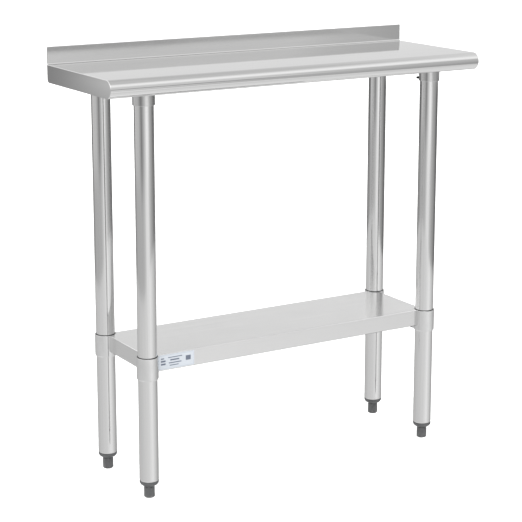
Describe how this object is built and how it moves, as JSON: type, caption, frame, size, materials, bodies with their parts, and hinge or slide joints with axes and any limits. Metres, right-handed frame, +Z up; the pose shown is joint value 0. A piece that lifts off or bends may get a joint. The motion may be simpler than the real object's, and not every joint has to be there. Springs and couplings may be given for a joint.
{
  "type": "stainless work table",
  "caption": "Narrow stainless work table with a low rear upturn, rolled front edge, round legs, sliding undershelf and screw-out levelling feet.",
  "frame": {"origin": "on the floor, under the middle of the table", "axes": "+X along the length to the right, +Y to the upturn at the back, +Z up"},
  "size_m": [0.9144, 0.3047, 0.9398],
  "materials": {
    "worktop_steel": "brushed along its length",
    "leg_steel": "bright drawn tube",
    "shelf_steel": "satin",
    "channel_steel": "galvanised",
    "socket_metal": "turned",
    "collar_metal": "cast and polished",
    "fastener_steel": "zinc plated",
    "black_screw": "black oxide",
    "foot_plastic": "moulded",
    "label": "printed film, blank"
  },
  "bodies": {
    "table": {"tabletop": "worktop_steel", "end_channel_left": "channel_steel", "end_channel_right": "channel_steel", "centre_channel": "channel_steel", "weld_studs": "fastener_steel", "stud_nuts": "fastener_steel", "socket_bolts": "fastener_steel", "socket_set_screws": "black_screw", "leg_socket_front_left": "socket_metal", "leg_front_left": "leg_steel", "foot_insert_front_left": "foot_plastic", "leg_socket_front_right": "socket_metal", "leg_front_right": "leg_steel", "foot_insert_front_right": "foot_plastic", "leg_socket_rear_left": "socket_metal", "leg_rear_left": "leg_steel", "foot_insert_rear_left": "foot_plastic", "leg_socket_rear_right": "socket_metal", "leg_rear_right": "leg_steel", "foot_insert_rear_right": "foot_plastic"},
    "undershelf": {"undershelf": "shelf_steel", "shelf_channel": "channel_steel", "collar_set_screws": "black_screw", "label_plate": "label", "shelf_collar_front_left": "collar_metal", "shelf_collar_front_right": "collar_metal", "shelf_collar_rear_left": "collar_metal", "shelf_collar_rear_right": "collar_metal"},
    "foot_stem_front_left": {"foot_stem_front_left": "fastener_steel"},
    "foot_front_left": {"hex_foot_front_left": "foot_plastic"},
    "foot_stem_front_right": {"foot_stem_front_right": "fastener_steel"},
    "foot_front_right": {"hex_foot_front_right": "foot_plastic"},
    "foot_stem_rear_left": {"foot_stem_rear_left": "fastener_steel"},
    "foot_rear_left": {"hex_foot_rear_left": "foot_plastic"},
    "foot_stem_rear_right": {"foot_stem_rear_right": "fastener_steel"},
    "foot_rear_right": {"hex_foot_rear_right": "foot_plastic"}
  },
  "joints": [
    {"name": "shelf_height_slide", "type": "slide", "parent": "table", "child": "undershelf", "axis": [0, 0, 1], "range_m": [-0.15, 0.4]},
    {"name": "foot_lift_front_left", "type": "slide", "parent": "table", "child": "foot_stem_front_left", "axis": [0, 0, -1], "range_m": [0, 0.02]},
    {"name": "foot_turn_front_left", "type": "hinge", "parent": "foot_stem_front_left", "child": "foot_front_left", "pos_m": [-0.3585, -0.1, 0.012], "axis": [0, 0, -1], "range_deg": [0, 4800]},
    {"name": "foot_lift_front_right", "type": "slide", "parent": "table", "child": "foot_stem_front_right", "axis": [0, 0, -1], "range_m": [0, 0.02]},
    {"name": "foot_turn_front_right", "type": "hinge", "parent": "foot_stem_front_right", "child": "foot_front_right", "pos_m": [0.3585, -0.1, 0.012], "axis": [0, 0, -1], "range_deg": [0, 4800]},
    {"name": "foot_lift_rear_left", "type": "slide", "parent": "table", "child": "foot_stem_rear_left", "axis": [0, 0, -1], "range_m": [0, 0.02]},
    {"name": "foot_turn_rear_left", "type": "hinge", "parent": "foot_stem_rear_left", "child": "foot_rear_left", "pos_m": [-0.3585, 0.1, 0.012], "axis": [0, 0, -1], "range_deg": [0, 4800]},
    {"name": "foot_lift_rear_right", "type": "slide", "parent": "table", "child": "foot_stem_rear_right", "axis": [0, 0, -1], "range_m": [0, 0.02]},
    {"name": "foot_turn_rear_right", "type": "hinge", "parent": "foot_stem_rear_right", "child": "foot_rear_right", "pos_m": [0.3585, 0.1, 0.012], "axis": [0, 0, -1], "range_deg": [0, 4800]}
  ],
  "couplings": [
    {"joint": "foot_lift_front_left", "follows": "foot_turn_front_left", "m_per_rad": 0.00023873},
    {"joint": "foot_lift_front_right", "follows": "foot_turn_front_right", "m_per_rad": 0.00023873},
    {"joint": "foot_lift_rear_left", "follows": "foot_turn_rear_left", "m_per_rad": 0.00023873},
    {"joint": "foot_lift_rear_right", "follows": "foot_turn_rear_right", "m_per_rad": 0.00023873}
  ]
}
